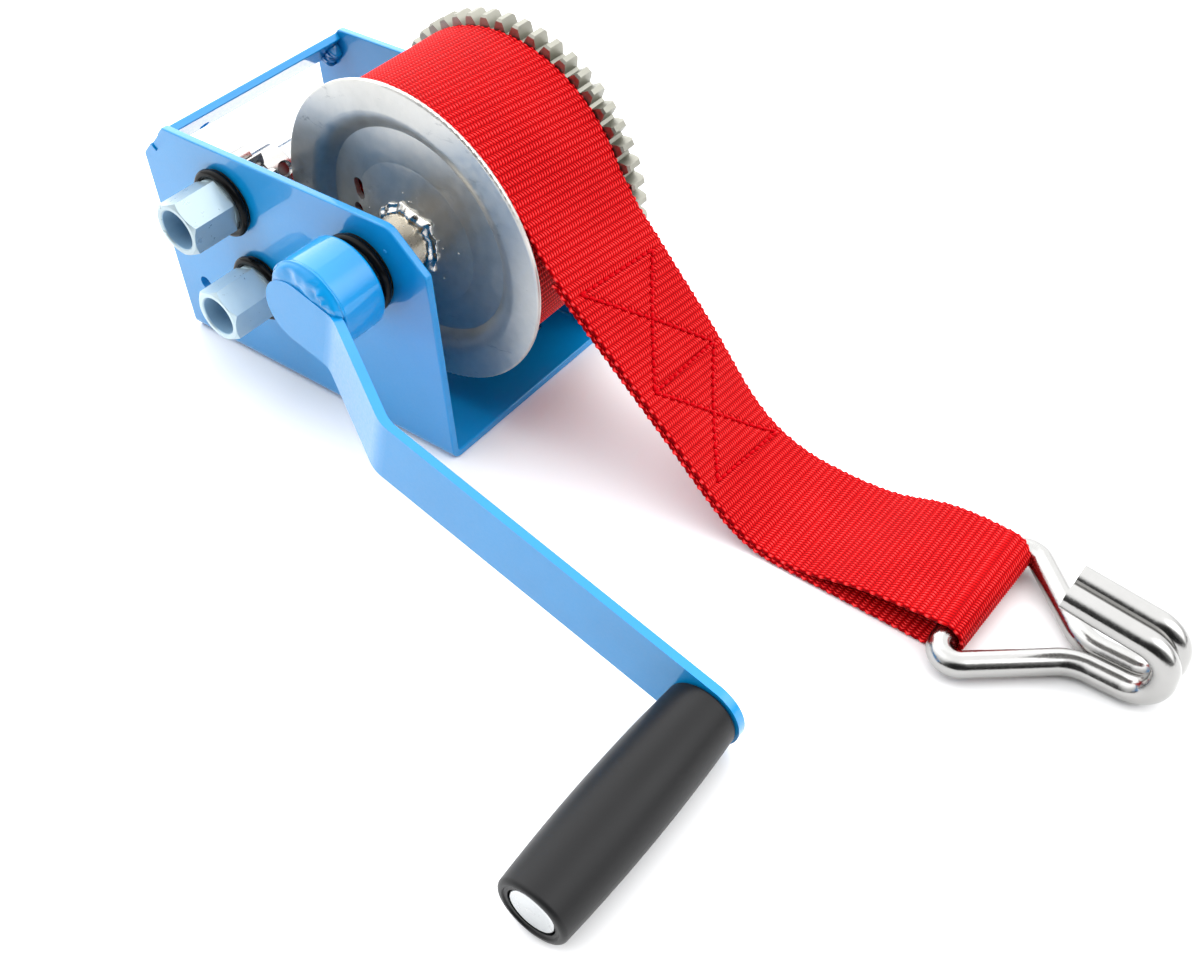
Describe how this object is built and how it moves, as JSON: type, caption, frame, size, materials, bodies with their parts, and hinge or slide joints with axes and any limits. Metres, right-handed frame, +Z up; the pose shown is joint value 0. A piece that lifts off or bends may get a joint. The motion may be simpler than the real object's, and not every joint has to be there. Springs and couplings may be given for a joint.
{
  "type": "hand winch",
  "caption": "Three-speed hand webbing winch: folded steel channel, geared strap drum, hex input spigots, lift-off crank with spinning grip, pawl, and a red strap ending in a double J hook.",
  "frame": {"origin": "centre of the four mounting holes on the underside of the base", "axes": "+X the way the strap is pulled out, -Y the crank side, +Z up away from the base"},
  "size_m": [0.3867, 0.2212, 0.129],
  "materials": {
    "blue_paint": "gloss powder coat",
    "bright_zinc": "bright zinc plate",
    "dull_zinc": "satin zinc plate",
    "weld_metal": "bright weld bead",
    "gear_steel": "pale zinc on machined steel",
    "dark_steel": "black oxide",
    "bush_bronze": "sintered bronze",
    "black_rubber": "smooth moulded rubber",
    "black_plastic": "satin moulded plastic",
    "red_webbing": "ribbed woven polyester webbing"
  },
  "bodies": {
    "frame": {"frame_channel": "blue_paint", "tie_bar": "blue_paint", "tie_bar_welds": "blue_paint", "drum_bush_near": "bush_bronze", "drum_bush_far": "bush_bronze", "upper_bush_near": "bush_bronze", "upper_bush_far": "bush_bronze", "lower_bush_near": "bush_bronze", "lower_bush_far": "bush_bronze", "pawl_pivot_pin": "gear_steel", "pawl_spring_washer": "dark_steel", "strap_tail": "red_webbing"},
    "drum_assembly": {"drum_shaft": "bright_zinc", "drum_core": "dull_zinc", "drum_roll_pin": "dull_zinc", "drum_flange": "dull_zinc", "flange_weld": "weld_metal", "drum_gear": "gear_steel", "strap_anchor_bar": "gear_steel", "wound_webbing": "red_webbing", "drum_thrust_washer": "dull_zinc", "drum_seal_ring": "black_rubber", "drum_retaining_ring": "dark_steel"},
    "upper_shaft_assembly": {"upper_shaft": "gear_steel", "upper_hex_sleeve": "bright_zinc", "upper_seal_ring": "black_rubber", "upper_pinion": "gear_steel", "upper_set_screw": "dark_steel", "upper_spacer": "dull_zinc", "upper_retaining_ring": "dark_steel"},
    "lower_shaft_assembly": {"lower_shaft": "gear_steel", "lower_hex_sleeve": "bright_zinc", "lower_seal_ring": "black_rubber", "lower_gear": "gear_steel", "lower_set_screw": "dark_steel", "lower_pinion": "gear_steel", "lower_thrust_washer": "dull_zinc", "lower_retaining_ring": "dark_steel"},
    "pawl_lever": {"pawl": "gear_steel"},
    "crank": {"crank_socket": "blue_paint", "crank_arm": "blue_paint", "crank_weld": "blue_paint", "grip_pin": "bright_zinc"},
    "grip": {"crank_grip": "black_plastic"},
    "hook": {"strap_hook": "bright_zinc"}
  },
  "joints": [
    {"name": "drum_spin", "type": "hinge", "parent": "frame", "child": "drum_assembly", "pos_m": [0.04, 0, 0.072], "axis": [0, 1, 0], "continuous": true},
    {"name": "lower_shaft_spin", "type": "hinge", "parent": "frame", "child": "lower_shaft_assembly", "pos_m": [-0.01775, 0, 0.04146], "axis": [0, 1, 0], "continuous": true},
    {"name": "upper_shaft_spin", "type": "hinge", "parent": "frame", "child": "upper_shaft_assembly", "pos_m": [-0.02756, 0, 0.07457], "axis": [0, 1, 0], "continuous": true},
    {"name": "crank_pull", "type": "slide", "parent": "drum_assembly", "child": "crank", "axis": [0, -1, 0], "range_m": [0, 0.03]},
    {"name": "grip_spin", "type": "hinge", "parent": "crank", "child": "grip", "pos_m": [0.21039, -0.13, 0.01308], "axis": [0, 1, 0], "continuous": true},
    {"name": "pawl_swing", "type": "hinge", "parent": "frame", "child": "pawl_lever", "pos_m": [-0.0049, 0.0353, 0.0145], "axis": [0, -1, 0], "range_deg": [0, 10]},
    {"name": "hook_swing", "type": "hinge", "parent": "frame", "child": "hook", "pos_m": [0.252, 0, 0.0069], "axis": [0, -1, 0], "range_deg": [-75, 115]}
  ],
  "couplings": [
    {"joint": "lower_shaft_spin", "follows": "drum_spin", "ratio": -5.5556},
    {"joint": "upper_shaft_spin", "follows": "drum_spin", "ratio": 11.667}
  ]
}
